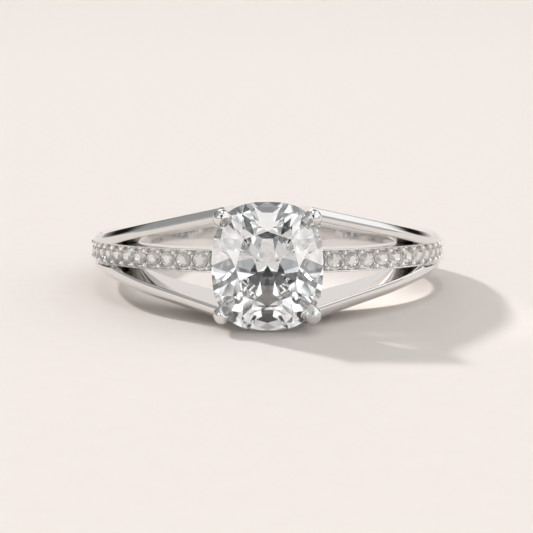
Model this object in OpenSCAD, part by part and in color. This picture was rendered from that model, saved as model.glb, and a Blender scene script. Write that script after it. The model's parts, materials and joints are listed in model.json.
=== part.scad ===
/* [Finger hole and shank] */
// Diameter of the finger hole
finger_d = 17; // [15:0.1:21]
// Radial thickness of the shank at the back and the sides
shank_t = 1.54; // [1.3:0.02:2.2]
// Width of the shank at the sides
shank_w = 2.04; // [1.8:0.02:3]
// Width of the shank at the back
shank_back_w = 1.7; // [1.4:0.02:2.6]

/* [Split arms] */
// Width of the polished outer face of each arm
arm_face = 0.66; // [0.5:0.01:0.8]
// How much wider an arm gets towards the finger, per unit of depth
arm_spread = 0.085; // [0:0.005:0.15]
// How far inside the shank's outer side the arms begin to flare
flare_inset = 0.6; // [0.2:0.05:1.2]
// How far from the finger's axis, towards the head, the arms begin to flare
flare_start = 4.15; // [3:0.05:5]
// How much the arms' outer sides spread towards the head, per unit of height
side_lean = 0.047; // [0:0.005:0.08]
// How far the front half of the shank is drawn out towards the head
shoulder_rise = 1.1; // [0.6:0.05:1.6]
// How far below the girdle the arms meet the prongs
arm_drop = 0.9; // [0.6:0.05:1.4]

/* [Paved strip] */
// Diameter of each small stone
pave_d = 0.88; // [0.7:0.01:1]
// Room between neighbouring small stones
pave_gap = 0.1; // [0.08:0.01:0.2]
// Small stones on each shoulder
pave_count = 15; // [8:1:16]
// Metal left beside the stones on each edge of the strip
pave_rail = 0.16; // [0.1:0.01:0.3]
// How far the strip stands proud of the shank
pave_proud = 0.16; // [0.08:0.01:0.4]
// Clearance between a small stone and its drilled seat
pave_clearance = 0.02; // [0.01:0.005:0.05]
// Diameter of the round grains that hold the small stones
grain_d = 0.28; // [0.2:0.01:0.3]
// How far the first small stone tucks in under the centre stone
pave_tuck = 0.12; // [0:0.02:0.4]
// How far the small stones' girdles lie below the top of the strip
pave_sink = 0.07; // [0.03:0.01:0.12]
// Width of the bottom of each drilled seat
seat_tip_d = 0.12; // [0.06:0.02:0.2]
// How far the middles of the grains lie below the top of the strip
grain_sink = 0.02; // [0:0.01:0.06]
// Clearance between a grain and the seats on both sides of it
grain_clearance = 0.015; // [0.005:0.005:0.03]

/* [Centre stone] */
// Width of the centre stone, across the finger
stone_w = 5.44; // [4.6:0.02:6.4]
// Length of the centre stone, along the finger
stone_l = 6.3; // [5.4:0.02:7.4]
// Height of the middle of the girdle above the finger hole
girdle_height = 4.4; // [4:0.05:5.5]
// Height of the crown, from the girdle to the table
crown_h = 0.86; // [0.6:0.02:1]
// Depth of the pavilion, from the girdle to the culet
pavilion_h = 2.4; // [2:0.02:2.6]
// Thickness of the girdle where it is thickest
girdle_t = 0.2; // [0.14:0.01:0.3]
// Squareness of the outline: 2 is an ellipse, larger is squarer
cushion_power = 2.7; // [2.2:0.1:4]
// Size of the table, as a share of the stone
table_share = 0.56; // [0.5:0.01:0.65]

/* [Head] */
// Diameter of each prong
prong_d = 0.8; // [0.6:0.02:1]
// Diameter of the rounded claw at the end of each prong
claw_d = 0.88; // [0.7:0.02:1.1]
// Height of the middle of each claw above the girdle
claw_rise = 0.28; // [0.1:0.02:0.5]
// How far each prong's foot stands in from its claw
prong_splay = 0.4; // [0:0.05:0.8]
// Direction of each claw round the stone's outline
claw_turn = 42.8; // [40:0.2:50]
// Distance from the middle of each claw in to the stone's corner
claw_reach = 0.04; // [-0.1:0.02:0.2]
// How far the arms' outer sides stand outside the claws
claw_inset = 0.06; // [0:0.01:0.12]
// Clearance between the centre stone and its prongs
stone_clearance = 0.03; // [0.02:0.005:0.06]
// Thickness of the rails under the head
bridge_t = 1.1; // [0.8:0.05:1.4]
// How far the outer rails run on into the arms
bar_reach = 0.5; // [0.3:0.05:0.8]
// How far the outer rails stand inside the arms' outer sides
bar_inset = 0.08; // [0.04:0.01:0.12]
// Diameter of the gallery rail that ties the prongs together
gallery_d = 0.52; // [0.4:0.02:0.7]
// Distance from the girdle down to the gallery rail
gallery_drop = 1.45; // [1.2:0.05:1.8]

/* [Hidden] */
$fn = 96;
SIDES = ["left", "right"];
PAVE = [for (side = SIDES) for (i = [1 : pave_count]) str("pave_stone_", side, "_", i)];

METAL = [0.86, 0.86, 0.87];
DIAMOND = [0.92, 0.95, 0.98];
far = 1.8 * finger_d;

// Radii round the finger hole, and distances out from its axis towards the head
finger_r = finger_d / 2;
shank_r = finger_r + shank_t;
strip_r = shank_r + pave_proud;
bridge_r = finger_r + bridge_t;
girdle_y = finger_r + girdle_height;
claw_y = girdle_y + claw_rise;

// Cushion outline: distance from its middle at an angle, for half sizes a and b
function outline(a, b, power, angle) =
    pow(pow(abs(cos(angle)) / a, power) + pow(abs(sin(angle)) / b, power), -1 / power);
function outline_point(a, b, power, turn) =
    let (angle = atan2(b * sin(turn), a * cos(turn)), r = outline(a, b, power, angle))
    [r * cos(angle), r * sin(angle)];
// Direction square to the outline there, pointing outwards
function outline_normal(a, b, power, p) =
    let (
        nx = sign(p.x) * pow(abs(p.x) / a, power - 1) / a,
        ny = sign(p.y) * pow(abs(p.y) / b, power - 1) / b
    )
    [nx, ny] / norm([nx, ny]);

// Claws sit on the stone's corners
corner = outline_point(stone_w / 2, stone_l / 2, cushion_power, claw_turn);
claw_at = corner + claw_reach * [1, 1] / sqrt(2);
claw_x = claw_at.x;
claw_z = claw_at.y;
function prong_x(y) = claw_x - prong_splay * (claw_y - y) / (claw_y - bridge_r);

// The arms' tops run straight from the shoulder's arc to the prongs
arm_top_y = girdle_y - arm_drop;
arm_top_reach = norm([claw_x, arm_top_y - shoulder_rise]);
arm_slope = atan2(claw_x, arm_top_y - shoulder_rise) + acos(shank_r / arm_top_reach);
arm_line = shank_r + shoulder_rise * cos(arm_slope);

// The shoulder's arc runs this many degrees into the straight part behind it
shoulder_lap = 2;

// Each side of an arm is flat. It is kept as its height above the mid plane at the finger's
// axis, its slope along x and its slope towards the head.
function side_height(side, x, y) = side[0] + side[1] * x + side[2] * y;
// The outer sides run from the shank's side to the outside of the prongs
flare_x = shank_r - flare_inset;
head_z = claw_z + claw_d / 2 + claw_inset;
flare = (head_z - shank_w / 2 - side_lean * (arm_top_y - flare_start)) / (flare_x - claw_x);
outer_side = [shank_w / 2 + flare * flare_x - side_lean * flare_start, -flare, side_lean];
// The inner walls stand the face's width inside the outer sides, and spread towards the finger
inner_side = outer_side
    - [arm_face + arm_spread * arm_line, -arm_spread * sin(arm_slope), -arm_spread * cos(arm_slope)];

// The outer rails under the head end inside the arms
bar_end_x = claw_x + bar_reach;
bar_end_y = sqrt(pow(finger_r, 2) - pow(bar_end_x, 2));
bar_z = side_height(outer_side, bar_end_x, bar_end_y) - bar_inset - arm_face / 2;

// Paved strip: stones at equal steps round the finger hole
pave_r = pave_d / 2;
pave_seat_r = pave_r + pave_clearance;
strip_w = pave_d + 2 * pave_rail;
pave_step = 2 * asin((pave_d + pave_gap) / 2 / strip_r);
pave_first = asin((stone_w / 2 - pave_tuck) / strip_r);
// The strip runs past its first and last stone by this share of a step
strip_margin = 0.62;
// How far the walls and the floor of its channel lie inside the strip
strip_bite = 0.02;
strip_start = pave_first - strip_margin * pave_step;
strip_end = pave_first + (pave_count - 1 + strip_margin) * pave_step;
// Proportions of a small round brilliant
pave_crown = 0.17 * pave_d;
pave_pavilion = 0.43 * pave_d;
pave_girdle_t = 0.034 * pave_d;
pave_girdle_r = strip_r - pave_sink;
pave_table = 0.55;
// A grain stands clear of the two stones that it holds
grain_reach = pave_seat_r + grain_d / 2 + grain_clearance;
grain_z = sqrt(pow(grain_reach, 2) - pow((pave_d + pave_gap) / 2, 2));
grain_r = strip_r - grain_sink;

// At rest the ring leans on the centre stone's girdle and the back of the shank
rest_front = [girdle_y - girdle_t / 2, stone_l / 2];
rest_back = [shank_r, shank_back_w / 2];
rest_tilt = atan((rest_front.y - rest_back.y) / (rest_front.x + rest_back.x));
rest_lift = rest_front.y * cos(rest_tilt) - rest_front.x * sin(rest_tilt);
table_y = girdle_y + girdle_t / 2 + crown_h;
front_end = max(
    table_y * cos(rest_tilt) + table_share * stone_l / 2 * sin(rest_tilt),
    claw_y * cos(rest_tilt) + claw_z * sin(rest_tilt) + claw_d / 2
);
back_end = rest_back.x * cos(rest_tilt) + rest_back.y * sin(rest_tilt);
rest_shift = (front_end - back_end) / 2;

// The ring is drawn with its finger hole along Z and its head towards -Y, then laid down
module at_rest() {
    translate([0, rest_shift, rest_lift])
        rotate([-rest_tilt, 0, 0])
        children();
}

module both_shoulders() {
    children();
    mirror([1, 0, 0]) children();
}

module above_and_below() {
    children();
    mirror([0, 0, 1]) children();
}

// A straight round rod between two points
module rod(from, to, d) {
    along = to - from;
    translate(from)
        rotate([0, acos(along.z / norm(along)), atan2(along.y, along.x)])
        cylinder(h = norm(along), d = d);
}

// Sector of a round plate, between two angles measured from the head towards the right
module sector(r, from, to, w) {
    rotate([0, 0, from - 90])
        rotate_extrude(angle = to - from)
        translate([0, -w / 2])
        square([r, w]);
}

// Back half of the hoop, with sides that run straight from its sides' width to its back's
module rear_half() {
    intersection() {
        sector(shank_r, 90, 270, max(shank_w, shank_back_w));
        rotate([90, 0, 90])
            linear_extrude(height = 2 * far, center = true)
            polygon([
                [0, shank_w / 2],
                [shank_r, shank_back_w / 2],
                [shank_r, -shank_back_w / 2],
                [0, -shank_w / 2]
            ]);
    }
}

// Front of the hoop in side view: an arc drawn out towards the head, then straight to the prongs
module front_plate(w) {
    arm_foot = [shank_r * sin(arm_slope), shoulder_rise + shank_r * cos(arm_slope)];
    translate([-shank_r, -shoulder_rise, -w / 2]) cube([2 * shank_r, shoulder_rise, w]);
    both_shoulders() {
        translate([0, -shoulder_rise, 0]) sector(shank_r, arm_slope, 90 + shoulder_lap, w);
        translate([0, 0, -w / 2])
            linear_extrude(height = w)
            polygon([
                [0, -shoulder_rise],
                [arm_foot.x, -arm_foot.y],
                [claw_x, -arm_top_y],
                [0, -arm_top_y]
            ]);
    }
}

// Wedge about the mid plane that reaches one side's height above and below it
module wedge(side) {
    run = norm([side[1], side[2]]);
    rotate([0, 0, atan2(-side[2], side[1])])
        translate([-side[0] / run, 0, 0])
        rotate([90, 0, 0])
        linear_extrude(height = 2 * far, center = true)
        polygon([[0, 0], [far, far * run], [far, -far * run]]);
}

module both_wedges(side) {
    intersection() {
        wedge(side);
        mirror([1, 0, 0]) wedge(side);
        translate([-far, -far, -far]) cube([2 * far, far, 2 * far]);
    }
}

// The arms stop at the middles of the prongs, and the space under the stone is open
module head_gap() {
    linear_extrude(height = 2 * far, center = true)
        polygon([
            [prong_x(0), 0],
            [prong_x(claw_y), -claw_y],
            [-prong_x(claw_y), -claw_y],
            [-prong_x(0), 0]
        ]);
}

module shank_and_arms() {
    color(METAL)
        difference() {
            union() {
                rear_half();
                front_plate(shank_w);
                intersection() {
                    front_plate(2 * head_z + 1);
                    both_wedges(outer_side);
                }
            }
            both_wedges(inner_side);
            head_gap();
        }
}

// Placed at an angle round the finger hole, with the part's own Z pointing out
module round_finger(angle, r) {
    rotate([0, 0, angle])
        rotate([90, 0, 0])
        translate([0, 0, r])
        children();
}

function pave_angle(i) = pave_first + (i - 1) * pave_step;

module pave_seat() {
    depth = pave_pavilion + pave_girdle_t / 2 + pave_clearance;
    translate([0, 0, -pave_girdle_t]) cylinder(r = pave_seat_r, h = pave_d);
    translate([0, 0, -depth]) cylinder(d1 = seat_tip_d, r2 = pave_seat_r, h = depth - pave_girdle_t);
}

module strips() {
    color(METAL) both_shoulders() sector(strip_r, strip_start, strip_end, strip_w);
}

// The arms' ends stand higher than the strip between them, which lies in a channel
module strip_channel() {
    difference() {
        cylinder(r = far, h = strip_w - 2 * strip_bite, center = true);
        cylinder(r = strip_r - strip_bite, h = strip_w, center = true);
    }
}

module pave_seats() {
    both_shoulders()
        for (i = [1 : pave_count])
        round_finger(pave_angle(i), pave_girdle_r)
        pave_seat();
}

// Grains stand in pairs between stones, and beyond the first and the last stone
module grains() {
    color(METAL)
        both_shoulders()
        for (i = [0 : pave_count])
        round_finger(pave_angle(i + 0.5), grain_r)
        for (up = [-1, 1])
        translate([0, up * grain_z, 0])
        sphere(d = grain_d);
}

// Three rails close the finger hole under the head
module under_bars() {
    middle_end = strip_start + pave_step;
    outer_end = asin(bar_end_x / bridge_r);
    color(METAL) {
        sector(bridge_r, -middle_end, middle_end, strip_w);
        above_and_below()
            translate([0, 0, bar_z])
            sector(bridge_r, -outer_end, outer_end, arm_face);
    }
}

module prong() {
    foot_y = finger_r - prong_d / 2;
    foot = [prong_x(foot_y), -foot_y, claw_z];
    tip = [claw_x, -claw_y, claw_z];
    rod(foot, tip, prong_d);
    translate(tip) rotate([90, 0, 0]) sphere(d = claw_d);
}

module gallery() {
    y = girdle_y - gallery_drop;
    x = prong_x(y);
    rod([-x, -y, claw_z], [x, -y, claw_z], gallery_d);
    rod([x, -y, -claw_z], [x, -y, claw_z], gallery_d);
    rod([-x, -y, claw_z], [-x, -y, -claw_z], gallery_d);
    rod([x, -y, -claw_z], [-x, -y, -claw_z], gallery_d);
}

module head() {
    color(METAL)
        difference() {
            union() {
                both_shoulders() above_and_below() prong();
                gallery();
            }
            centre_stone_shape(1 + 2 * stone_clearance / stone_w);
        }
}

// The metal is cast and soldered into one body, bored to the finger's size and drilled for
// the small stones, and the grains are raised beside the seats
module ring_mount() {
    color(METAL)
        at_rest()
        difference() {
            union() {
                difference() {
                    union() {
                        difference() {
                            shank_and_arms();
                            strip_channel();
                        }
                        under_bars();
                        strips();
                    }
                    pave_seats();
                }
                grains();
                head();
            }
            cylinder(r = finger_r, h = far, center = true);
        }
}

// Brilliant cut: eight kites round a table, star and girdle facets between them,
// and eight mains with paired halves below. The table faces up and the girdle is at zero.
function line_meet(p, u, q, v) =
    let (det = u.x * v.y - u.y * v.x, w = q - p)
    p + u * (w.x * v.y - w.y * v.x) / det;
function plane_height(a, b, c, p) =
    let (n = cross(b - a, c - a))
    a.z - (n.x * (p.x - a.x) + n.y * (p.y - a.y)) / n.z;

module brilliant(a, b, power, crown, pavilion, girdle, table, star, half_length, parts) {
    count = 16 * parts;
    rim = [for (i = [0 : count - 1]) outline_point(a, b, power, 360 * i / count)];
    top = girdle / 2 + crown;
    low = -girdle / 2 - pavilion;
    mains = [for (k = [0 : 7]) rim[2 * k * parts]];
    sides = [for (m = mains) let (n = outline_normal(a, b, power, m)) [-n.y, n.x]];
    table_points = [for (m = mains) [m.x * table, m.y * table, top]];
    // Upper and lower side corners of the kites and mains, where neighbours cross
    star_z = girdle / 2 + crown * (1 - star);
    star_out = 1 - (1 - table) * (1 - star);
    half_out = 1 - half_length;
    half_z = -girdle / 2 - pavilion * half_length;
    upper = [for (k = [0 : 7])
        let (j = (k + 1) % 8, p = line_meet(mains[k] * star_out, sides[k], mains[j] * star_out, sides[j]))
        [p.x, p.y, star_z]];
    lower = [for (k = [0 : 7])
        let (j = (k + 1) % 8, p = line_meet(mains[k] * half_out, sides[k], mains[j] * half_out, sides[j]))
        [p.x, p.y, half_z]];
    // Heights of the girdle's edges, where the facets beside it cut the rim
    edge_top = [for (i = [0 : count - 1])
        let (s = floor(i / parts), k = floor(s / 2), g = rim[s * parts], h = rim[(s + 1) * parts % count])
        plane_height(upper[k], [g.x, g.y, girdle / 2], [h.x, h.y, girdle / 2], rim[i])];
    edge_low = [for (i = [0 : count - 1])
        let (s = floor(i / parts), k = floor(s / 2), g = rim[s * parts], h = rim[(s + 1) * parts % count])
        plane_height(lower[k], [g.x, g.y, -girdle / 2], [h.x, h.y, -girdle / 2], rim[i])];
    points = concat(
        table_points,
        upper,
        [for (i = [0 : count - 1]) [rim[i].x, rim[i].y, edge_top[i]]],
        [for (i = [0 : count - 1]) [rim[i].x, rim[i].y, edge_low[i]]],
        lower,
        [[0, 0, low]]
    );
    up = 8;
    rim_top = 16;
    rim_low = rim_top + count;
    down = rim_low + count;
    culet = down + 8;
    faces = concat(
        [[for (k = [7 : -1 : 0]) k]],
        [for (k = [0 : 7]) [k, (k + 1) % 8, up + k]],
        [for (k = [0 : 7]) [k, up + k, rim_top + 2 * k * parts]],
        [for (k = [0 : 7]) [k, rim_top + 2 * k * parts, up + (k + 7) % 8]],
        [for (i = [0 : count - 1]) [up + floor(i / parts / 2), rim_top + (i + 1) % count, rim_top + i]],
        [for (i = [0 : count - 1]) [rim_top + i, rim_top + (i + 1) % count, rim_low + i]],
        [for (i = [0 : count - 1]) [rim_top + (i + 1) % count, rim_low + (i + 1) % count, rim_low + i]],
        [for (i = [0 : count - 1]) [down + floor(i / parts / 2), rim_low + i, rim_low + (i + 1) % count]],
        [for (k = [0 : 7]) [culet, rim_low + 2 * k * parts, down + k]],
        [for (k = [0 : 7]) [culet, down + (k + 7) % 8, rim_low + 2 * k * parts]]
    );
    polyhedron(points = points, faces = faces);
}

module centre_stone_shape(grow) {
    translate([0, -girdle_y, 0])
        rotate([90, 0, 0])
        scale(grow)
        brilliant(
            stone_w / 2, stone_l / 2, cushion_power, crown_h, pavilion_h, girdle_t,
            table = table_share, star = 0.6, half_length = 0.76, parts = 4
        );
}

module centre_stone() {
    color(DIAMOND) at_rest() centre_stone_shape(1);
}

module pave_stone(side, i) {
    turn = side == "left" ? -1 : 1;
    color(DIAMOND)
        at_rest()
        round_finger(turn * pave_angle(i), pave_girdle_r)
        brilliant(
            pave_r, pave_r, 2, pave_crown, pave_pavilion, pave_girdle_t,
            table = pave_table, star = 0.62, half_length = 0.76, parts = 1
        );
}

ring_mount();
centre_stone();
for (side = SIDES)
    for (i = [1 : pave_count])
        pave_stone(side, i);
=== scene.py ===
# %% [markdown]
# # A split shank ring
#
# This lesson dresses a finished CAD model of a finger ring for a portrait. The ring lies on
# its side on a pale table: a plain hoop, two polished arms on each shoulder with a paved strip
# between them, and a cushion stone in four claws.
#
# The CAD model stays the master of every size. The small stones keep their CAD meshes, because a
# cut stone is nothing but flat facets, and the centre stone only gets more of them. The metal is
# modelled again here, because polish shows every edge: a real ring has none that is sharp.

# %% Load the frame
import json
import math

import bmesh
import bpy
from mathutils import Matrix, Vector

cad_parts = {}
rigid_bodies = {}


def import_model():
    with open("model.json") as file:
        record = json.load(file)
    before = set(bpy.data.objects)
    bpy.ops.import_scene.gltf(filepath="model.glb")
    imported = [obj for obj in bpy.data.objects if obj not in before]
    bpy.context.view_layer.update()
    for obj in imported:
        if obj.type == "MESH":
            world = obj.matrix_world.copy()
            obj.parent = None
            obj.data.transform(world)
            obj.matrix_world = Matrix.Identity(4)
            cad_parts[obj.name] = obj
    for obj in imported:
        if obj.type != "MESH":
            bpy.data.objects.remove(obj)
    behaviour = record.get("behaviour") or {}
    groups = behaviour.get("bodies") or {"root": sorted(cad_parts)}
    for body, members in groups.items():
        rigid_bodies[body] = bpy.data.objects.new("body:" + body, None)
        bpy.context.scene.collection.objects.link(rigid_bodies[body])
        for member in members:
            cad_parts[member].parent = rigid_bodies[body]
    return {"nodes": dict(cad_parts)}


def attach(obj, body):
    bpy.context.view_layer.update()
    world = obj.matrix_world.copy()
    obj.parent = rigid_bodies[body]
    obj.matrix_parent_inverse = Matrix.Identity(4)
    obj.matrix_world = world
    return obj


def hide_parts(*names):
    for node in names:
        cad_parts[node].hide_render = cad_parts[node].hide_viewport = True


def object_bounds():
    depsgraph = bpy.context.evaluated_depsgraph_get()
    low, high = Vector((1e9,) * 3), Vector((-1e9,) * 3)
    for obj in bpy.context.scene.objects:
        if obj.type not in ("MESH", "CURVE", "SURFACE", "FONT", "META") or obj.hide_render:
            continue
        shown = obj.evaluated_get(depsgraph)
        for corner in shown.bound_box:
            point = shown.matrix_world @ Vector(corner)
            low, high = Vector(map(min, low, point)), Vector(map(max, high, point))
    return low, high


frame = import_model()
cad_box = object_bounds()
print("CAD nodes:", len(frame["nodes"]))

# %% [markdown]
# ## Sizes
#
# A ring is easiest to model upright in its own frame: the finger's axis along Z and the head
# towards -Y. Blender's tools also like numbers near one, so every piece is modelled in
# millimetres and shrunk to metres at the end. These are the sizes that the CAD source names.

# %% The ring's sizes, in millimetres
PER_METRE = 1000
finger_r, shank_t = 8.5, 1.54
shank_r = finger_r + shank_t
shank_w, shank_back_w = 2.04, 1.7
arm_face, arm_spread, arm_drop = 0.66, 0.085, 0.9
flare_inset, flare_start = 0.6, 4.15
side_lean, shoulder_rise = 0.047, 1.1
girdle_height, girdle_t = 4.4, 0.2
stone_w, stone_l, crown_h, pavilion_h, table_share = 5.44, 6.3, 0.86, 2.4, 0.56
claw_d, claw_rise, claw_reach, claw_inset = 0.88, 0.28, 0.04, 0.06
prong_d, prong_splay = 0.8, 0.4
bridge_t = 1.1
girdle_y = finger_r + girdle_height
claw_y = girdle_y + claw_rise
arm_top_y = girdle_y - arm_drop
bridge_r = finger_r + bridge_t
flare_x = shank_r - flare_inset
print("hoop", 2 * shank_r, "mm across, stone", stone_w, "x", stone_l, "mm")

# %% [markdown]
# The claws sit on the cushion's corners. The outline of a cushion is a superellipse: an ellipse
# with a power above two, which fills its corners. A formula is chosen over a drawn curve,
# because the arms and the stone's facets take their places from the same outline.

# %% Where the claws stand
cushion_power = 2.7
claw_turn = math.radians(42.8)
corner_turn = math.atan2(stone_l * math.sin(claw_turn), stone_w * math.cos(claw_turn))


def cushion_reach(turn):
    """From the stone's middle to its outline, in this direction."""
    wide = abs(math.cos(turn)) / (stone_w / 2)
    long = abs(math.sin(turn)) / (stone_l / 2)
    return (wide**cushion_power + long**cushion_power) ** (-1 / cushion_power)


corner_reach = cushion_reach(corner_turn)
claw_x = corner_reach * math.cos(corner_turn) + claw_reach / math.sqrt(2)
claw_z = corner_reach * math.sin(corner_turn) + claw_reach / math.sqrt(2)


def prong_x(y):
    """Middle of a prong, at a distance from the finger's axis."""
    return claw_x - prong_splay * (claw_y - y) / (claw_y - bridge_r)


print("claws at", round(claw_x, 3), round(claw_z, 3))

# %% [markdown]
# In side view the front of the hoop is the same circle as the back, drawn out towards the head,
# and then a straight line that touches it and ends at the prongs. Each side of an arm is a flat
# plane. It is kept as its height above the middle of the ring, and its slopes along x and
# towards the head.

# %% The arms' lines and planes
arm_slope = math.atan2(claw_x, arm_top_y - shoulder_rise) + math.acos(
    shank_r / math.hypot(claw_x, arm_top_y - shoulder_rise)
)
arm_line = shank_r + shoulder_rise * math.cos(arm_slope)
head_z = claw_z + claw_d / 2 + claw_inset
flare = (head_z - shank_w / 2 - side_lean * (arm_top_y - flare_start)) / (flare_x - claw_x)
outer_side = (shank_w / 2 + flare * flare_x - side_lean * flare_start, -flare, side_lean)
inner_side = (
    outer_side[0] - arm_face - arm_spread * arm_line,
    outer_side[1] + arm_spread * math.sin(arm_slope),
    outer_side[2] + arm_spread * math.cos(arm_slope),
)


def side_height(side, x, y):
    """Height of an arm's side above the mid plane, at x and at y towards the head."""
    return side[0] + side[1] * x + side[2] * y


print("arm slope", round(math.degrees(arm_slope), 2), "outer side", outer_side)

# %% [markdown]
# ## Helpers
#
# An operator acts on whatever is selected, so each step first selects what it needs. These
# helpers start with nothing selected, open a piece for editing, and pick its corners, edges or
# faces by where their middles are. A click with the mouse would do the same, but can't be
# repeated when a size changes.

# %% Selecting
TINY = 1e-4


def only(*pieces):
    """Selects these objects alone, in object mode, and makes the first one active."""
    if bpy.context.object and bpy.context.object.mode != "OBJECT":
        bpy.ops.object.mode_set(mode="OBJECT")
    bpy.ops.object.select_all(action="DESELECT")
    for piece in pieces:
        piece.select_set(True)
    if pieces:
        bpy.context.view_layer.objects.active = pieces[0]


def edit(piece):
    only(piece)
    bpy.ops.object.mode_set(mode="EDIT")
    bpy.ops.mesh.select_mode(type="VERT")


def middle(item):
    if hasattr(item, "co"):
        return item.co
    return sum((v.co for v in item.verts), Vector()) / len(item.verts)


def pick(kind, test):
    """Selects the VERT, EDGE or FACE items of the edited mesh that pass the test."""
    bpy.ops.mesh.select_mode(type=kind)
    bpy.ops.mesh.select_all(action="DESELECT")
    mesh = bmesh.from_edit_mesh(bpy.context.object.data)
    count = 0
    for item in {"VERT": mesh.verts, "EDGE": mesh.edges, "FACE": mesh.faces}[kind]:
        if test(item):
            item.select_set(True)
            count += 1
    mesh.select_flush_mode()
    bmesh.update_edit_mesh(bpy.context.object.data)
    return count


# %% [markdown]
# Most shapes below grow in the same few ways: an edge is extruded, a loop is widened, and a
# finished skin is welded and turned outwards. Each way gets a short name.


# %% Growing and mending a mesh
def extrude(offset=(0, 0, 0)):
    bpy.ops.mesh.extrude_region_move(TRANSFORM_OT_translate={"value": offset})


def widen(share, about=(0, 0, 0)):
    """Scales the selection in x and y, about a point."""
    bpy.ops.transform.resize(value=(share, share, 1), center_override=about)


def scale_along(axes, axis, amount, about):
    """Scales the selection along axis 0, 1 or 2 of three turned axes, about a point."""
    value, chosen = [1, 1, 1], [False, False, False]
    value[axis], chosen[axis] = amount, True
    bpy.ops.transform.resize(
        value=value,
        orient_type="GLOBAL",
        orient_matrix=axes,
        orient_matrix_type="GLOBAL",
        constraint_axis=chosen,
        center_override=about,
    )


def weld(distance=TINY):
    """Merges the corners of the edited mesh that lie this close to each other."""
    bpy.ops.mesh.select_all(action="SELECT")
    bpy.ops.mesh.remove_doubles(threshold=distance)


def face_outwards():
    bpy.ops.mesh.select_all(action="SELECT")
    bpy.ops.mesh.normals_make_consistent(inside=False)


# %% [markdown]
# ## Hoop and arms
#
# On the real ring the hoop and its four arms are one casting. A quarter of it is modelled, the
# right upper one, and mirrored twice. It starts as the circle of the finger hole, which is
# extruded outwards to the hoop's outer side. The front of that outer side is pushed towards the
# head. A profile swept along a curve would be quicker, but its sides wouldn't be the flat planes
# that mirror the room so evenly.

# %% Side view of a quarter
STEPS = 288
only()
bpy.ops.mesh.primitive_circle_add(vertices=STEPS, radius=finger_r, fill_type="NOTHING")
hoop = bpy.context.object
edit(hoop)
pick("VERT", lambda v: v.co.x < -TINY)
bpy.ops.mesh.delete(type="VERT")
bpy.ops.mesh.select_all(action="SELECT")
extrude()
widen(shank_r / finger_r)
middle_r = (finger_r + shank_r) / 2
on_front = pick("VERT", lambda v: v.co.y < -TINY and v.co.length > middle_r)
bpy.ops.transform.translate(value=(0, -shoulder_rise, 0))
print("corners drawn towards the head:", on_front)

# %% [markdown]
# The last part of the outer side is flattened onto the straight line of the arm. Scaling by
# nothing across that line does it: every corner keeps its place along the arm.

# %% The straight arms in side view
along = Vector((math.cos(arm_slope), math.sin(arm_slope), 0))
outward = Vector((math.sin(arm_slope), -math.cos(arm_slope), 0))
arm_axes = Matrix((along, outward, along.cross(outward))).transposed()
past_arc = pick(
    "VERT",
    lambda v: v.co.y < 0
    and v.co.length > middle_r
    and math.atan2(v.co.x, -(v.co.y + shoulder_rise)) < arm_slope,
)
scale_along(arm_axes, 1, 0, outward * arm_line)
print("corners on the straight part:", past_arc)

# %% [markdown]
# The flat side view is extruded upwards and then cut with planes, as a goldsmith files a
# casting. Three copies are cut: the arm with its flaring plane, the hoop's side level, and the
# back with a taper. They meet along lines where neighbouring planes have the same height.

# %% Thickness, and three copies
above_all = head_z + 1
bpy.ops.mesh.select_all(action="SELECT")
extrude((0, 0, above_all))
face_outwards()


def copy_of(piece):
    only(piece)
    bpy.ops.object.duplicate()
    return bpy.context.object


arm, back = copy_of(hoop), copy_of(hoop)
print("each copy:", len(arm.data.polygons), "faces")


# %% Cutting with a plane
def slice_off(point, normal, keep=lambda f: True):
    """Cuts the edited mesh with a plane, removes what is on its normal's side, and caps it."""
    pick("FACE", keep)
    bpy.ops.mesh.bisect(
        plane_co=point, plane_no=normal, use_fill=True, clear_outer=True, threshold=1e-6
    )


def side_plane(side):
    """A point and an upward normal of an arm's side."""
    return (0, 0, side[0]), Vector((-side[1], side[2], 1)).normalized()


# %% Cut the arm, the hoop and the back
MIDDLE = (0, 0, 0)
flare_point = (flare_x, -flare_start, 0)
to_arm = Vector((outer_side[1], -outer_side[2], 0)).normalized()
prong_lean = prong_splay / (claw_y - bridge_r)
end_face = Vector((-1, -prong_lean, 0)).normalized()
taper = (shank_w - shank_back_w) / 2 / shank_r
shank_top = (0, 0, shank_w / 2)
cuts = {
    arm: (
        (MIDDLE, (0, 1, 0)),
        (flare_point, -to_arm),
        ((claw_x, -claw_y, 0), end_face),
        side_plane(outer_side),
    ),
    hoop: ((MIDDLE, (0, 1, 0)), (flare_point, to_arm), (shank_top, (0, 0, 1))),
    back: ((MIDDLE, (0, -1, 0)), (shank_top, (0, taper, 1))),
}
for piece, planes in cuts.items():
    edit(piece)
    for point, normal in planes:
        slice_off(point, normal)
print("planes cut:", sum(len(planes) for planes in cuts.values()))

# %% [markdown]
# Joined again, the three lose the caps between them. The slot between the upper and the lower arm
# is the last cut.

# %% Join, and cut the slot
only(hoop, arm, back)
bpy.ops.object.join()
edit(hoop)
flare_cut = Vector(flare_point).dot(to_arm)


def on_plane(face, normal, distance=0):
    normal = Vector(normal)
    return all(abs(v.co.dot(normal) - distance) < 10 * TINY for v in face.verts)


caps = pick("FACE", lambda f: on_plane(f, to_arm, flare_cut) or on_plane(f, (0, 1, 0)))
bpy.ops.mesh.delete(type="FACE")
weld()
slot_point, slot_normal = side_plane(inner_side)
slice_off(slot_point, -slot_normal, lambda f: middle(f).y < 0)
print("caps removed:", caps)

# %% [markdown]
# Where the upper and the lower arm come together they stand higher than the paved strip between
# them. The strip lies in a channel there, which a goldsmith would mill. These are the sizes of
# the strip, again from the CAD source.

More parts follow.
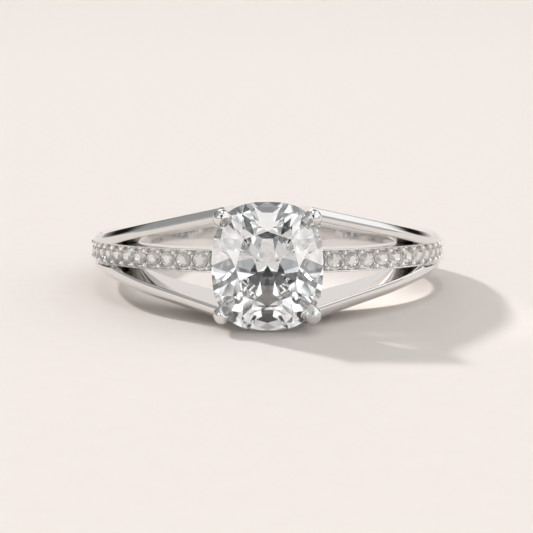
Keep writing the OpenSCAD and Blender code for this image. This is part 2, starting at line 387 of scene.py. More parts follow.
# %% The paved strip's sizes
pave_proud, pave_rail, pave_gap = 0.16, 0.16, 0.1
pave_clearance, pave_tuck = 0.02, 0.12
pave_d, pave_count, strip_margin = 0.88, 15, 0.62
strip_r = shank_r + pave_proud
strip_w = pave_d + 2 * pave_rail
seat_r = pave_d / 2 + pave_clearance
pave_step = 2 * math.asin((pave_d + pave_gap) / 2 / strip_r)
pave_first = math.asin((stone_w / 2 - pave_tuck) / strip_r)
strip_end = pave_first + (pave_count - 1 + strip_margin) * pave_step
print("strip ends at", round(math.degrees(strip_end), 1), "degrees from the head")

# %% [markdown]
# The channel's cutter is a band round the finger, and a boolean takes it away. The faces on the
# mirrors' planes go too, so that the halves weld together.


# %% A band, and a boolean
def band(inside, outside, low, high):
    """A closed band round the finger, between two radii and two heights."""
    only()
    bpy.ops.mesh.primitive_circle_add(vertices=STEPS, radius=inside, location=(0, 0, low))
    ring = bpy.context.object
    edit(ring)
    bpy.ops.mesh.select_all(action="SELECT")
    extrude()
    widen(outside / inside, (0, 0, low))
    bpy.ops.mesh.select_all(action="SELECT")
    extrude((0, 0, high - low))
    face_outwards()
    only(ring)
    return ring


def modifier(piece, kind, **settings):
    """Adds a modifier with these settings and applies it."""
    only(piece)
    added = piece.modifiers.new(kind.title(), kind)
    for name, value in settings.items():
        setattr(added, name, value)
    bpy.ops.object.modifier_apply(modifier=added.name)


def boolean(piece, operation, *tools):
    """Joins the tools' shapes to the piece or takes them away, and removes the tools."""
    for tool in tools:
        modifier(piece, "BOOLEAN", operation=operation, object=tool, solver="EXACT")
        bpy.data.objects.remove(tool)


# %% Cut the channel for the strip
channel_depth, channel_inset, past_middle = 0.55, 0.02, 0.5
sliver = 0.003
channel = band(
    strip_r - channel_depth, 2 * strip_r, -past_middle, strip_w / 2 - channel_inset
)
edit(channel)
slice_off(MIDDLE, (math.cos(strip_end), math.sin(strip_end), 0))
boolean(hoop, "DIFFERENCE", channel)
edit(hoop)
pick(
    "FACE",
    lambda f: on_plane(f, (0, 0, 1)) or (on_plane(f, (1, 0, 0)) and middle(f).y > 0),
)
bpy.ops.mesh.delete(type="FACE")
weld(sliver)
print("quarter:", len(hoop.data.vertices), "corners before bevels")

# %% [markdown]
# Polishing rounds every edge. The outer edge of an arm is rounded most, which gives its face
# the soft highlight; the edge to the slot has a narrow bright bevel. The edges are found by the
# faces beside them, because their numbers change with every size.


# %% Kinds of faces
def meets(edge, first, second):
    """True if one face beside the edge passes the first test and the other the second."""
    if len(edge.link_faces) != 2:
        return False
    a, b = edge.link_faces
    return (first(a) and second(b)) or (first(b) and second(a))


def is_wall(face):
    """A face that stands upright in the ring's frame."""
    return abs(face.normal.z) < 0.05


def is_outer(face):
    """The outer wall, but not the arm's end, which looks the other way."""
    return is_wall(face) and middle(face).xy.length > middle_r * 0.985 and face.normal.x > -0.5


def is_bore(face):
    return is_wall(face) and abs(middle(face).xy.length - finger_r) < 0.05


def is_top(face):
    return face.normal.z > 0.9


def is_slot(face):
    return face.normal.z < -0.9


# %% Round the edges
above_channel = 0.45
edit(hoop)
face_outwards()
for first, second, lowest, width, segments, profile in (
    (is_outer, is_top, 0, 0.32, 8, 0.36),
    (is_outer, is_slot, above_channel, 0.13, 3, 0.5),
    (is_bore, is_top, 0, 0.14, 5, 0.5),
    (is_bore, is_slot, above_channel, 0.08, 3, 0.5),
):
    count = pick("EDGE", lambda e: meets(e, first, second) and middle(e).z > lowest)
    bpy.ops.mesh.bevel(offset=width, offset_type="OFFSET", segments=segments, profile=profile)
    print("bevelled", count, "edges by", width)

# %% [markdown]
# The arm ends inside its prong. Its upper corner gets a few flats, as if filed, which lead it
# down round the claw. Their edges stay crisp, so that the long flat beside them shades evenly.

# %% File the arm's end
corner_axis = Vector((claw_x + 0.3, -claw_y, claw_z))
corner_r = claw_d / 2 + 0.05
for degrees in (0, 15, 30, 45):
    lean = math.radians(degrees)
    filed = end_face * math.sin(lean) + Vector((0, 0, math.cos(lean)))
    slice_off(corner_axis + filed * corner_r, filed)
crisp = pick("EDGE", lambda e: all(v.co.y < 0 and v.co.x < corner_axis.x for v in e.verts))
bpy.ops.mesh.mark_sharp()
only(hoop)
print("crisp edges:", crisp)

# %% [markdown]
# At rest the ring leans on its head and on the back of the hoop, so it is tilted a little. The
# tilt is worked out from the stone's girdle, as in the CAD source. The same tilt and shift lay
# every finished piece down.

# %% The ring at rest
rest_front = (girdle_y - girdle_t / 2, stone_l / 2)
rest_back = (shank_r, shank_back_w / 2)
rest_tilt = math.atan((rest_front[1] - rest_back[1]) / (rest_front[0] + rest_back[0]))
rest_lift = rest_front[1] * math.cos(rest_tilt) - rest_front[0] * math.sin(rest_tilt)
table_y, table_z = girdle_y + girdle_t / 2 + crown_h, table_share * stone_l / 2
front_end = table_y * math.cos(rest_tilt) + table_z * math.sin(rest_tilt)
back_end = rest_back[0] * math.cos(rest_tilt) + rest_back[1] * math.sin(rest_tilt)
rest_shift = (front_end - back_end) / 2
print("tilt", round(math.degrees(rest_tilt), 3), "lift", rest_lift, "shift", rest_shift)


# %% Finishing a piece
def settle(piece):
    """Applies a piece's place, turn and scale to its mesh."""
    only(piece)
    bpy.ops.object.transform_apply(location=True, rotation=True, scale=True)


def smooth(piece, angle):
    """Clean outward normals, smooth shading, and creases only past the angle in degrees."""
    edit(piece)
    weld()
    face_outwards()
    only(piece)
    bpy.ops.object.shade_smooth_by_angle(angle=math.radians(angle))


def lay_down(piece, name):
    """Turns a piece from the ring's own frame to its place on the table, in metres."""
    piece.name = piece.data.name = name
    piece.scale = [1 / PER_METRE] * 3
    piece.rotation_euler = (-rest_tilt, 0, 0)
    piece.location = (0, rest_shift / PER_METRE, rest_lift / PER_METRE)
    settle(piece)
    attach(piece, "root")
    print(name, len(piece.data.polygons), "faces")


# %% [markdown]
# Two mirrors make the whole ring of the quarter. The weighted normals then follow the large flat
# faces, so that the narrow bevels carry all of the turn, as on a well polished ring.

# %% Mirror the quarter
modifier(
    hoop,
    "MIRROR",
    use_axis=(True, False, True),
    use_mirror_merge=True,
    merge_threshold=0.002,
)
smooth(hoop, 30)
modifier(hoop, "WEIGHTED_NORMAL", keep_sharp=True)
lay_down(hoop, "shank_and_arms")

# %% [markdown]
# ## Paved strips
#
# A goldsmith drills a row of seats in a strip, sets the stones, and raises beads of metal over
# their edges. One cell of the row is modelled flat: a drilled seat, the metal round it, and a
# rail on both sides. An array repeats it, and a bend lays the row round the finger hole. Thirty
# booleans would also drill the seats, but they can leave slivers.

# %% Steps of the row
bore_gap = 0.02
pitch = strip_r * pave_step
strip_depth = strip_r - finger_r - bore_gap
rail_w, rail_h, field_drop = 0.09, 0.03, 0.14
half_cell, half_field = pitch / 2, strip_w / 2 - rail_w
print("one step of the row:", round(pitch, 3), "mm")


def grow(axis, amount, about=(0, 0, 0)):
    """Scales the selection along one axis, about a point."""
    value = [1, 1, 1]
    value[axis] = amount
    bpy.ops.transform.resize(value=value, center_override=about)


# %% One cell, flat, with its seat at the origin and the open side up
seat_lip, past_cell = 1.07, 1.5
only()
bpy.ops.mesh.primitive_circle_add(vertices=32, radius=seat_r)
cell = bpy.context.object
edit(cell)
bpy.ops.mesh.select_all(action="SELECT")
for share in (seat_lip, past_cell):
    extrude()
    widen(share)
for sign in (-1, 1):
    pick("VERT", lambda v: v.co.x * sign > half_cell)
    grow(0, 0, (sign * half_cell, 0, 0))
    pick("VERT", lambda v: v.co.y * sign > half_field)
    grow(1, 0, (0, sign * half_field, 0))
pick("VERT", lambda v: abs(v.co.y) < half_field - TINY)
bpy.ops.transform.translate(value=(0, 0, -field_drop))
bpy.ops.object.mode_set(mode="OBJECT")
print("cell:", len(cell.data.vertices), "corners")

# %% [markdown]
# The seat is a short cylinder and then a cone, as a setting bur drills it. The rails rise at the
# cell's sides, and their outer walls run down to the finger hole.

# %% Its drilled cup, rails and sides
cup_wall, cup_cone, cup_bottom = 0.06, 0.32, 0.14
edit(cell)
pick("VERT", lambda v: v.co.length < seat_r * 1.02)
extrude((0, 0, -cup_wall))
extrude((0, 0, -cup_cone))
widen(cup_bottom)
bpy.ops.mesh.edge_face_add()
for sign in (-1, 1):
    pick("EDGE", lambda e: all(v.co.y * sign > half_field - TINY for v in e.verts))
    extrude((0, 0, rail_h))
    extrude((0, sign * rail_w, 0))
    extrude((0, 0, -strip_depth - rail_h))
pick("EDGE", lambda e: all(v.co.z < -strip_depth + TINY and v.co.y < 0 for v in e.verts))
extrude((0, strip_w, 0))
weld()
print("cell:", len(bmesh.from_edit_mesh(cell.data).faces), "faces")

# %% [markdown]
# The rails' edges are rounded before the cell is repeated. The row then gets closed ends a
# little beyond its first and last seat.


# %% Round the rails, and repeat the cell
def along_row(edge):
    return abs(edge.verts[0].co.x - edge.verts[1].co.x) > TINY


pick(
    "EDGE",
    lambda e: along_row(e)
    and min(v.co.z for v in e.verts) > rail_h - TINY
    and abs(middle(e).y) > half_field - TINY,
)
bpy.ops.mesh.bevel(offset=0.04, segments=3, profile=0.5)
modifier(
    cell,
    "ARRAY",
    count=pave_count,
    use_relative_offset=False,
    use_constant_offset=True,
    constant_offset_displace=(pitch, 0, 0),
    use_merge_vertices=True,
    merge_threshold=0.001,
)
strip = cell
row_end = (pave_count - 0.5) * pitch
past = (strip_margin - 0.5) * pitch
edit(strip)
for place, sign in ((-half_cell, -1), (row_end, 1)):
    pick("EDGE", lambda e: all(abs(v.co.x - place) < 0.002 for v in e.verts))
    extrude((sign * past, 0, 0))
bpy.ops.mesh.select_all(action="SELECT")
bpy.ops.mesh.fill_holes(sides=0)
bpy.ops.mesh.normals_make_consistent(inside=False)
print("row of", pave_count, "cells,", len(bmesh.from_edit_mesh(strip.data).faces), "faces")

# %% [markdown]
# Bending is a job for the Simple Deform modifier, which turns a length of the row into an angle.
# The length along the strip's top stays true, so that every stone meets its seat.


# %% Lay the row round the finger
def bend_round(piece, radius, start):
    """Stands a flat row up and bends it, so that its x runs round a circle of this radius."""
    piece.rotation_euler = (math.pi / 2, 0, 0)
    piece.location = (radius * start, 0, 0)
    settle(piece)
    long = max(v.co.x for v in piece.data.vertices) - min(v.co.x for v in piece.data.vertices)
    modifier(piece, "SIMPLE_DEFORM", deform_method="BEND", deform_axis="Z", angle=long / radius)
    piece.location = (0, -radius, 0)
    settle(piece)


bend_round(strip, strip_r, pave_first)
modifier(strip, "MIRROR", use_axis=(True, False, False), use_mirror_merge=False)
smooth(strip, 35)
lay_down(strip, "paved_strips")

# %% [markdown]
# ## Grains
#
# The beads that hold the small stones stand in pairs between them. A graver raises each one and
# a cup tool rounds it. A bead is a whole ball here, which stands in the lowered field between
# the rails: only its upper half shows.

# %% One bead in every corner
bead_d, bead_r, bead_clearance = 0.3, strip_r + 0.01, 0.015
bead_reach = seat_r + bead_d / 2 + bead_clearance
bead_z = math.sqrt(bead_reach**2 - ((pave_d + pave_gap) / 2) ** 2)
beads = []
for i in range(pave_count + 1):
    turn = pave_first + (i - 0.5) * pave_step
    for height in (-bead_z, bead_z):
        only()
        bpy.ops.mesh.primitive_uv_sphere_add(
            segments=12,
            ring_count=8,
            radius=bead_d / 2,
            location=(bead_r * math.sin(turn), -bead_r * math.cos(turn), height),
            rotation=(math.pi / 2, 0, turn),
        )
        beads.append(bpy.context.object)
only(*beads)
bpy.ops.object.join()
grains = bpy.context.object
settle(grains)
modifier(grains, "MIRROR", use_axis=(True, False, False), use_mirror_merge=False)
smooth(grains, 180)
lay_down(grains, "grains")

# %% [markdown]
# ## Under-bridges
#
# Three rails close the finger hole under the head. Each starts as a bar, its long edges are
# rounded, and it is bent to the finger's circle like the strips. They end inside the arms and
# the strips, where solder would hold them.

# %% Three bent rails
bar_reach, bar_inset, bar_gap, bar_bevel, bar_cuts = 0.5, 0.08, 0.03, 0.12, 31
end_gap = 0.02  # radians
bar_end_x = claw_x + bar_reach
bar_end_y = math.sqrt(finger_r**2 - bar_end_x**2)
bar_z = side_height(outer_side, bar_end_x, bar_end_y) - bar_inset - arm_face / 2
bar_depth = bridge_r - finger_r - bar_gap
middle_end = pave_first - (strip_margin - 1) * pave_step - end_gap
outer_end = math.asin(bar_end_x / bridge_r)
bars = []
for height, width, end in (
    (0, strip_w - 2 * bore_gap, middle_end),
    (-bar_z, arm_face, outer_end),
    (bar_z, arm_face, outer_end),
):
    only()
    bpy.ops.mesh.primitive_cube_add(size=1, location=(0, 0, -bar_depth / 2))
    bar = bpy.context.object
    edit(bar)
    grow(0, 2 * bridge_r * end)
    grow(1, width)
    grow(2, bar_depth, (0, 0, -bar_depth / 2))
    pick("EDGE", along_row)
    bpy.ops.mesh.bevel(offset=bar_bevel, segments=4, profile=0.5)
    pick("EDGE", along_row)
    bpy.ops.mesh.subdivide(number_cuts=bar_cuts)
    bend_round(bar, bridge_r, 0)
    bar.location = (0, 0, height)
    settle(bar)
    bars.append(bar)
only(*bars)
bpy.ops.object.join()
under = bpy.context.object
smooth(under, 30)
lay_down(under, "under_bridges")

# %% [markdown]
# ## Head
#
# Four prongs and a gallery rail, soldered together. A prong is a round wire whose end is filed
# to a dome over the stone. It starts as a ball; its lower half goes, and the open edge is
# extruded down the wire's line to the finger hole. A wire with a ball stuck on would leave a
# seam, which shows in polish.

# %% One prong
claw_side, neck_side, neck_share = 0.35, 0.35, 0.96
foot_y = finger_r - prong_d / 2
tip = Vector((claw_x, -claw_y, claw_z))
foot = Vector((prong_x(foot_y), -foot_y, claw_z))
shaft = (tip - foot).length - (claw_side + neck_side)
only()
bpy.ops.mesh.primitive_uv_sphere_add(segments=32, ring_count=16, radius=claw_d / 2)
prong = bpy.context.object
edit(prong)
pick("VERT", lambda v: v.co.z < -TINY)
bpy.ops.mesh.delete(type="VERT")
pick("VERT", lambda v: v.co.z < TINY)
for down, share in (
    (claw_side, 1),
    (neck_side, neck_share),
    (shaft, prong_d / claw_d / neck_share),
):
    extrude((0, 0, -down))
    bpy.ops.transform.resize(value=(share, share, 1))
bpy.ops.mesh.edge_face_add()
prong.rotation_euler = (tip - foot).to_track_quat("Z", "Y").to_euler()
prong.location = tip
settle(prong)
print("prong", round((tip - foot).length, 2), "mm long")

# %% [markdown]
# The dome is drawn in towards the middle of the stone, as a claw is pressed down over the edge,
# and a file leaves one flat on its inner side.

# %% Point the claw inwards, and mirror it
claw_point, flat_away = 1.5, 0.36
upward = (tip - foot).normalized()
inward = Vector((-claw_x, 0, -claw_z)).normalized()
claw_axes = Matrix((inward, upward, inward.cross(upward))).transposed()
edit(prong)
pick("VERT", lambda v: (v.co - tip).dot(inward) > TINY and (v.co - tip).dot(upward) > -TINY)
scale_along(claw_axes, 0, claw_point, tip)
filed = (inward + upward).normalized()
slice_off(tip + filed * flat_away, filed)
face_outwards()
modifier(prong, "MIRROR", use_axis=(True, False, True), use_mirror_merge=False)
print("four prongs:", len(prong.data.vertices), "corners")

# %% [markdown]
# The gallery rail is a square of round wire from prong to prong. Booleans join it on, because a
# soldered joint has no gap.


# %% The gallery rail
def wire(start, end, radius):
    """A round wire between two points."""
    only()
    bpy.ops.mesh.primitive_cylinder_add(
        vertices=32,
        radius=radius,
        depth=(end - start).length,
        location=(start + end) / 2,
        rotation=(end - start).to_track_quat("Z", "Y").to_euler(),
    )
    made = bpy.context.object
    settle(made)
    return made


gallery_d, gallery_drop = 0.52, 1.45
rail_y = girdle_y - gallery_drop
corners = [
    Vector((sx * prong_x(rail_y), -rail_y, sz * claw_z))
    for sx, sz in ((1, 1), (-1, 1), (-1, -1), (1, -1))
]
rails = [wire(corners[i], corners[(i + 1) % 4], gallery_d / 2) for i in range(4)]
boolean(prong, "UNION", *rails)
print("head:", len(prong.data.vertices), "corners before its seats")

# %% [markdown]
# The stone's own shape cuts the seats: the cutter is a copy of the CAD stone, grown a little for
# clearance. The finger hole's cutter is a drum of the hole's size.


# %% A copy of the stone
def stone_copy():
    """The CAD's centre stone in the ring's own frame, in millimetres."""
    made = copy_of(frame["nodes"]["centre_stone"])
    bpy.ops.object.parent_clear(type="CLEAR_KEEP_TRANSFORM")
    made.location -= Vector((0, rest_shift, rest_lift)) / PER_METRE
    settle(made)
    made.rotation_mode = "XYZ"
    made.rotation_euler = (rest_tilt, 0, 0)
    made.scale = [PER_METRE] * 3
    settle(made)
    edit(made)
    weld()
    face_outwards()
    return made


# %% Cut the seats
stone_clearance = 0.03
cutter = stone_copy()
wider = 1 + 2 * stone_clearance / stone_w
bpy.ops.transform.resize(value=(wider, wider, wider), center_override=(0, -girdle_y, 0))
only()
bpy.ops.mesh.primitive_cylinder_add(vertices=STEPS, radius=finger_r + bar_gap, depth=4 * head_z)
drum = bpy.context.object
boolean(prong, "DIFFERENCE", cutter, drum)
smooth(prong, 35)
modifier(prong, "WEIGHTED_NORMAL", keep_sharp=True)
lay_down(prong, "head")
metal_pieces = [hoop, strip, grains, under, prong]
for piece in metal_pieces:
    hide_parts("ring_mount")

# %% [markdown]
# ## Centre stone
#
# The CAD stone has a plain brilliant's facets. A cutter of cushions adds more below the girdle,
# which break the light into smaller flashes. They are ground here on a copy of the CAD stone, a
# little steeper than the facets that they cut. Building the stone from nothing would give more
# freedom, but then its outline might leave the claws.


# %% Grind the extra facets
def grind(turn, steeper, share):
    """Grinds a facet that meets the pavilion's slope at this share of the way to the outline."""
    reach = cushion_reach(turn)
    slope = math.atan2(pavilion_h, reach) + math.radians(steeper)
    level = -girdle_y + girdle_t / 2 + pavilion_h * (1 - share)
    across = Vector((math.cos(turn), 0, math.sin(turn)))
    slice_off(
        across * reach * share + Vector((0, level, 0)),
        across * math.sin(slope) + Vector((0, math.cos(slope), 0)),
    )


half_way, at_ends = (3, 0.62), (3.6, 0.43)
brilliant = stone_copy()
for i in range(8):
    half = (i + 0.5) * math.pi / 4
    turn = math.atan2(stone_l * math.sin(half), stone_w * math.cos(half))
    grind(turn, *half_way)
for turn in (math.pi / 2, -math.pi / 2):
    grind(turn, *at_ends)
face_outwards()
lay_down(brilliant, "cushion_brilliant")
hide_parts("centre_stone")

# %% [markdown]
# ## Finishes
#
# Every finish is a small tree of shader nodes. Noise in the piece's own coordinates gives it the
# fine irregularity of a real surface; a photograph of metal would do too, but it needs a file and
# blurs up close.


# %% Nodes and noise
def node_of(tree, kind, **values):
    """Adds a shader node. Values set its sockets by name, or its own settings."""
    made = tree.nodes.new(kind)
    for name, value in values.items():
        socket = made.inputs.get(name.replace("_", " ").title())
        if socket is not None:
            socket.default_value = value
        else:
            setattr(made, name, value)
    return made


def new_material(name):
    made = bpy.data.materials.new(name)
    made.use_nodes = True
    return made, made.node_tree, made.node_tree.nodes["Principled BSDF"]


def noise(tree, scale, detail, stretch=(1, 1, 1)):
    """Noise in the piece's own coordinates, stretched along an axis if asked."""
    place = node_of(tree, "ShaderNodeTexCoord")
    mapping = node_of(tree, "ShaderNodeMapping", Scale=stretch)
    made = node_of(tree, "ShaderNodeTexNoise", Scale=scale, Detail=detail)
    tree.links.new(place.outputs["Object"], mapping.inputs["Vector"])
    tree.links.new(mapping.outputs["Vector"], made.inputs["Vector"])
    return made


def map_range(tree, source, spans, **settings):
    """Maps a value onto another span: from low, from high, to low and to high."""
    made = node_of(tree, "ShaderNodeMapRange", **settings)
    for name, value in zip(("From Min", "From Max", "To Min", "To Max"), spans):
        made.inputs[name].default_value = value
    tree.links.new(source, made.inputs["Value"])
    return made.outputs["Result"]


def between(tree, source, low, high):
    """Maps the middle span of a noise, which holds nearly all of it, onto low to high."""
    return map_range(tree, source, (0.3, 0.7, low, high))


# %% [markdown]
# White gold is plated and polished until it mirrors the room, so almost all of its look comes
# from the lights. What keeps it from looking like chrome is the faint waviness and the hairline
# scratches that polishing wheels leave, and a slightly warm grey. The paved strips are cut with
# gravers and never meet the wheel, so they are paler and a little duller; the cup tool burnishes
# the grains bright.

# %% Polished, cut and burnished white gold
hairline_scale, hairline_stretch, wave_scale = 2500, (1, 0.15, 1), 700
wave_height = 0.01 / PER_METRE


def white_gold(name, grey, dull, shiny):
    """White gold of this greyness; its roughness runs between shiny and dull in hairlines."""
    made, tree, skin = new_material(name)
    skin.inputs["Base Color"].default_value = (grey, grey * 0.993, grey * 0.98, 1)
    skin.inputs["Metallic"].default_value = 1
    hairlines = noise(tree, hairline_scale, 3, hairline_stretch)
    tree.links.new(between(tree, hairlines.outputs["Fac"], shiny, dull), skin.inputs["Roughness"])
    waves = noise(tree, wave_scale, 2)
    bump = node_of(tree, "ShaderNodeBump", Strength=0.05, Distance=wave_height)
    tree.links.new(waves.outputs["Fac"], bump.inputs["Height"])
    tree.links.new(bump.outputs["Normal"], skin.inputs["Normal"])
    return made


polished = white_gold("polished_white_gold", 0.8, 0.09, 0.03)
bright_cut = white_gold("bright_cut_white_gold", 0.87, 0.11, 0.04)
burnished = white_gold("burnished_white_gold", 0.97, 0.06, 0.03)
finishes = {strip: bright_cut, grains: burnished}


def dress(piece, material):
    piece.data.materials.clear()
    piece.data.materials.append(material)


for piece in metal_pieces:
    dress(piece, finishes.get(piece, polished))
    print(piece.name, "in", piece.data.materials[0].name)

# %% [markdown]
# A diamond bends light more than any other clear stone. Its facets are flat and sharp, so they
# stay flat-shaded. The small stones are cut the same way; the centre stone has the faintest
# blue, which keeps it white beside the warm table.

# %% Diamonds
diamond_ior = 2.417


def diamond(name, tint):
    made, tree, skin = new_material(name)
    skin.inputs["Base Color"].default_value = tint
    skin.inputs["Transmission Weight"].default_value = 1
    skin.inputs["IOR"].default_value = diamond_ior
    specks = noise(tree, 4000, 2)
    tree.links.new(between(tree, specks.outputs["Fac"], 0, 0.01), skin.inputs["Roughness"])
    return made


dress(brilliant, diamond("clear_diamond", (0.94, 0.975, 1, 1)))
small_look = diamond("small_diamond", (1, 1, 1, 1))
for name, node in frame["nodes"].items():
    if name.startswith("pave_stone"):
        dress(node, small_look)
print("small stones:", 2 * pave_count)

# %% [markdown]
# ## Table, light and camera
#
# The ring lies on a pale matt sheet of paper, wide enough to fill the picture. Far behind the
# ring it curls up in ten small steps, so that no horizon shows.

# %% Sheet
curl_rows, row_depth, curl_start = 10, 0.1, 0.5
only()
bpy.ops.mesh.primitive_plane_add(size=2 * curl_start, location=(0, 0, cad_box[0][2]))
sheet = bpy.context.object
sheet.name = "table"
edit(sheet)
for side in (-1, 1):
    pick("VERT", lambda v: v.co.x * side > 0)
    bpy.ops.transform.translate(value=(side, 0, 0))
for row in range(1, curl_rows + 1):
    far_edge = curl_start + (row - 1) * row_depth
    pick("EDGE", lambda e: all(v.co.y > far_edge - TINY for v in e.verts))
    extrude((0, row_depth, row_depth * math.tan(math.radians(row))))
smooth(sheet, 60)
print("sheet:", len(sheet.data.polygons), "faces")

# %% Paper
paper, tree, skin = new_material("pale_sheet")
skin.inputs["Roughness"].default_value = 0.9
skin.inputs["Specular IOR Level"].default_value = 0.2
fibres = noise(tree, 900, 4)
tint = node_of(tree, "ShaderNodeMix", data_type="RGBA")
tint.inputs["A"].default_value = (0.77, 0.713, 0.674, 1)
tint.inputs["B"].default_value = (0.798, 0.743, 0.704, 1)
tree.links.new(fibres.outputs["Fac"], tint.inputs["Factor"])
tree.links.new(tint.outputs["Result"], skin.inputs["Base Color"])
sheet.data.materials.append(paper)
print("sheet in", paper.name)

# %% [markdown]
# One soft lamp from the left and a little behind throws the ring's shadow to the right and
# forward. A sun is chosen because its shadow keeps one direction across the picture. The metal
# doesn't mirror it, because the room below has the lamps that the metal shows.

# %% Lamp
only()
bpy.ops.object.light_add(type="SUN")
lamp = bpy.context.object
lamp.name = "key_lamp"
lamp.data.energy = 2.1
lamp.data.angle = math.radians(5)
lamp.data.color = (1, 0.985, 0.97)
lamp.visible_glossy = False
shadow_run = Vector((1.07, -0.98, -1))
lamp.rotation_euler = shadow_run.to_track_quat("-Z", "Y").to_euler()
print("lamp", round(math.degrees(math.asin(1 / shadow_run.length)), 1), "degrees above the table")

# %% [markdown]
# The photo has a light patch in the middle of the right-hand shadow, perhaps gathered there by the
# polished inside of the hoop. Metal that mirrors the lamp barely lights that spot, so a narrow
# lamp shines there through the finger hole, from the same side as the first one and as soft. It is
# a stand-in: its place, width and strength were set to match the photo.

# %% Gathered light
lamp_away, patch_reach = 0.06, 0.0045
patch = Vector((5.9, -4.6, 0)) / PER_METRE
only()
bpy.ops.object.light_add(type="SPOT", location=patch - shadow_run.normalized() * lamp_away)
gathered = bpy.context.object
gathered.name = "gathered_light"
gathered.data.energy = 0.11
gathered.data.spot_size = 2 * math.atan(patch_reach / lamp_away)
gathered.data.spot_blend = 0.5
gathered.data.shadow_soft_size = lamp_away * math.tan(lamp.data.angle / 2)
gathered.rotation_euler = lamp.rotation_euler
gathered.visible_glossy = gathered.visible_transmission = False
print("narrow lamp's cone:", round(math.degrees(gathered.data.spot_size), 1), "degrees")

# %% [markdown]
# The room is drawn in the world shader, as brightness by direction. Real soft boxes and black
# cards would work as well, but each would be one more object to place. Polished metal needs dark
# parts to mirror as well as bright ones, so every card and lamp is a panel between limits of x, y
# and z, with soft edges.

# %% Panels
world = bpy.data.worlds.new("studio")
bpy.context.scene.world = world
world.use_nodes = True
room = world.node_tree
sky = room.nodes["Background"]
where = node_of(room, "ShaderNodeTexCoord")
parts = node_of(room, "ShaderNodeSeparateXYZ")
room.links.new(where.outputs["Generated"], parts.inputs["Vector"])
axes = [parts.outputs[axis] for axis in "XYZ"]


def ramp(source, low, high, start, end):
    """Smoothly from start to end while the source goes from low to high."""
    return map_range(room, source, (low, high, start, end), interpolation_type="SMOOTHSTEP")


def combine(operation, first, second):
    made = node_of(room, "ShaderNodeMath", operation=operation)
    for socket, value in zip(made.inputs, (first, second)):
        if isinstance(value, (int, float)):
            socket.default_value = value
        else:
            room.links.new(value, socket)
    return made.outputs["Value"]


def toward(level, mask, value):
    """Moves the level towards a value where the mask is one."""
    change = combine("MULTIPLY", combine("SUBTRACT", value, level), mask)
    return combine("ADD", level, change)


def panel(level, value, *spans, soft=0.05):
    """A panel of this brightness, between limits of x, y and z; None leaves a side open."""
    mask = 1
    for axis, (low, high) in zip(axes, spans):
        if low is not None:
            mask = combine("MULTIPLY", mask, ramp(axis, low - soft, low + soft, 0, 1))
        if high is not None:
            mask = combine("MULTIPLY", mask, ramp(axis, high - soft, high + soft, 1, 0))
    return toward(level, mask, value)


# %% [markdown]
# The room is bright on the right and darker on the left, with a pale low wall at the back. Two
# black cards stand behind the table, and a soft lamp hangs up behind on the left with a dark
# card beside it. The front is one bright screen, broken by dark patches of noise: they give the
# claws and the facets something to sparkle with. None of this can be read from the photo. The
# limits and strengths were found by trial, until the tones of the ring came close to it.

# %% Walls and screen
OPEN = (None, None)
FRONT = (None, -0.35)
level = 0.5
for value, x_limits, y_limits, z_limits, soft in (
    (0.85, OPEN, (0.1, None), (None, 0.34), 0.05),  # low wall at the back
    (1.15, (0.35, None), OPEN, (0.3, None), 0.05),  # right
    (0.36, (None, -0.3), OPEN, (0.08, 0.78), 0.05),  # left
    (0.01, (0.26, 0.8), (0.5, None), (0.16, 0.45), 0.1),  # black card, right
    (0.01, (-0.8, -0.26), (0.5, None), (0.16, 0.45), 0.1),  # black card, left
    (2.0, (-0.33, 0.0), (0.2, None), (0.4, 0.75), 0.05),  # soft lamp up behind
    (0.08, (0.06, 0.33), (0.2, None), (0.36, 0.75), 0.05),  # dark card beside it
    (1.5, OPEN, FRONT, (0.12, None), 0.05),  # front screen
):
    level = panel(level, value, x_limits, y_limits, z_limits, soft=soft)
in_front = panel(0, 1, OPEN, FRONT, (0.0, None))
patches = node_of(room, "ShaderNodeTexNoise", Scale=9, Detail=2)
room.links.new(where.outputs["Generated"], patches.inputs["Vector"])
shade = ramp(patches.outputs["Fac"], 0.43, 0.49, 1, 0)
level = toward(level, combine("MULTIPLY", in_front, shade), 0.06)

# %% [markdown]
# The camera and the photographer behind it are dark in that screen, which gives the stone its
# dark middle. A small strong lamp overhead puts one bright point on each claw. The low wall at
# the back is a little warm, as it takes its colour from the table.

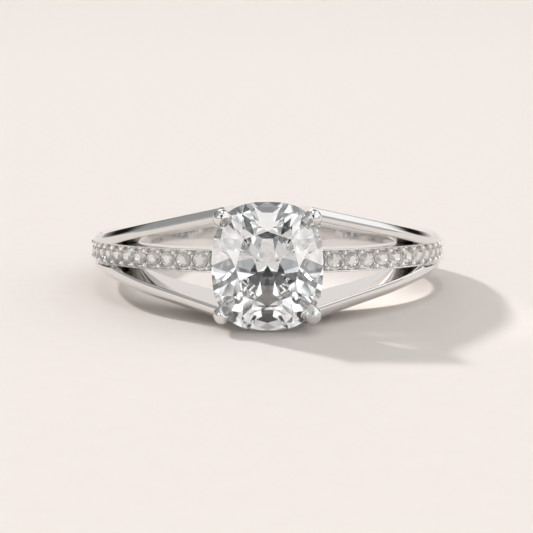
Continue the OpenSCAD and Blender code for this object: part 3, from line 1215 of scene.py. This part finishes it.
# %% Camera's shape, overhead lamp and warmth
for value, x_limits, y_limits, z_limits, soft in (
    (0.02, (-0.1, 0.1), (None, -0.3), (0, 0.55), 0.03),  # camera
    (0.02, (-0.26, 0.26), (None, -0.3), (0.5, 0.8), 0.03),  # photographer
    (9, (-0.09, 0.09), (0.02, 0.18), (0.9, None), 0.02),  # overhead lamp
):
    level = panel(level, value, x_limits, y_limits, z_limits, soft=soft)
room.links.new(level, sky.inputs["Strength"])
warmth = node_of(room, "ShaderNodeMix", data_type="RGBA")
warmth.inputs["A"].default_value = (1, 1, 1, 1)
warmth.inputs["B"].default_value = (1, 0.95, 0.925, 1)
room.links.new(panel(0, 1, OPEN, (0.1, None), (None, 0.34)), warmth.inputs["Factor"])
room.links.new(warmth.outputs["Result"], sky.inputs["Color"])
print("nodes in the room:", len(room.nodes))

# %% [markdown]
# The camera stands ten degrees above the table's level, straight in front of the head. The lens
# is long, as for any close portrait of jewellery. It was measured in the photo's pixels, and the
# ring's middle lies a little above and beside the photo's.

# %% Camera
PHOTO_PIXELS, FOCAL_PIXELS, SENSOR = 533, 1210.3, 36
pixels_up, pixels_aside = 19.6, 0.9
centre = Vector((0, rest_shift, rest_lift)) / PER_METRE
climb, away = math.radians(9.97), 0.072
view_from = centre + Vector((0, -math.cos(climb), math.sin(climb))) * away
camera_data = bpy.data.cameras.new("camera")
camera_data.sensor_width = SENSOR
camera_data.lens = SENSOR * FOCAL_PIXELS / PHOTO_PIXELS
camera_data.clip_start = 0.001
camera = bpy.data.objects.new("camera", camera_data)
bpy.context.scene.collection.objects.link(camera)
camera.location = view_from
aim = (centre - view_from).to_track_quat("-Z", "Y").to_matrix()
aim = aim @ Matrix.Rotation(-math.atan(pixels_up / FOCAL_PIXELS), 3, "X")
aim = aim @ Matrix.Rotation(math.atan(pixels_aside / FOCAL_PIXELS), 3, "Y")
camera.rotation_euler = aim.to_euler()
bpy.context.scene.camera = camera
print("lens", round(camera_data.lens, 1), "mm")

# %% [markdown]
# Light enters a diamond and turns round in it many times before it leaves, so the renderer is
# allowed many bounces. The standard view transform keeps the table's pale tone as it is.

# %% Bounces and colours
bpy.context.scene.view_settings.view_transform = "Standard"
bpy.context.scene.cycles.max_bounces = 24
bpy.context.scene.cycles.glossy_bounces = 16
bpy.context.scene.cycles.transmission_bounces = 24

# %% [markdown]
# The dressed ring has to fill the same box as the CAD model, or it wouldn't fit the same finger.

# %% The CAD model's box
print("CAD box ", [[round(x * 1000, 2) for x in c] for c in cad_box])
